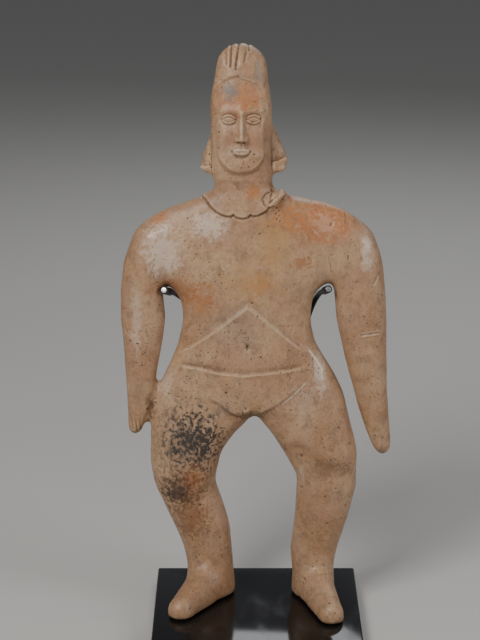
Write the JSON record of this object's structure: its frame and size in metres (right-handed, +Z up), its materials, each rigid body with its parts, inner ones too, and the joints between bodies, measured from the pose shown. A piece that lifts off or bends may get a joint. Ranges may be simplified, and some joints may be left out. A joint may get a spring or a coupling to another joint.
{
  "type": "standing clay figure on a display stand",
  "caption": "Hand-built clay figure with grooved crown, ear pieces, collar and carved belly panel, held upright on a black base plate by bent rods.",
  "frame": {"origin": "middle of the base plate's underside, on the surface it stands on", "axes": "+Z up, the figure faces -Y, +X to the viewer's right"},
  "size_m": [0.1814, 0.14, 0.3917],
  "materials": {
    "clay": "burnished buff earthenware with dark deposits",
    "base": "polished black acrylic",
    "rod": "blackened steel, bare and bright at the tip",
    "sleeve": "matt black sleeve"
  },
  "bodies": {
    "root": {"figure": "clay", "base_plate": "base", "left_rod": "rod", "right_rod": "rod", "left_sleeve": "sleeve", "right_sleeve": "sleeve"}
  },
  "joints": []
}
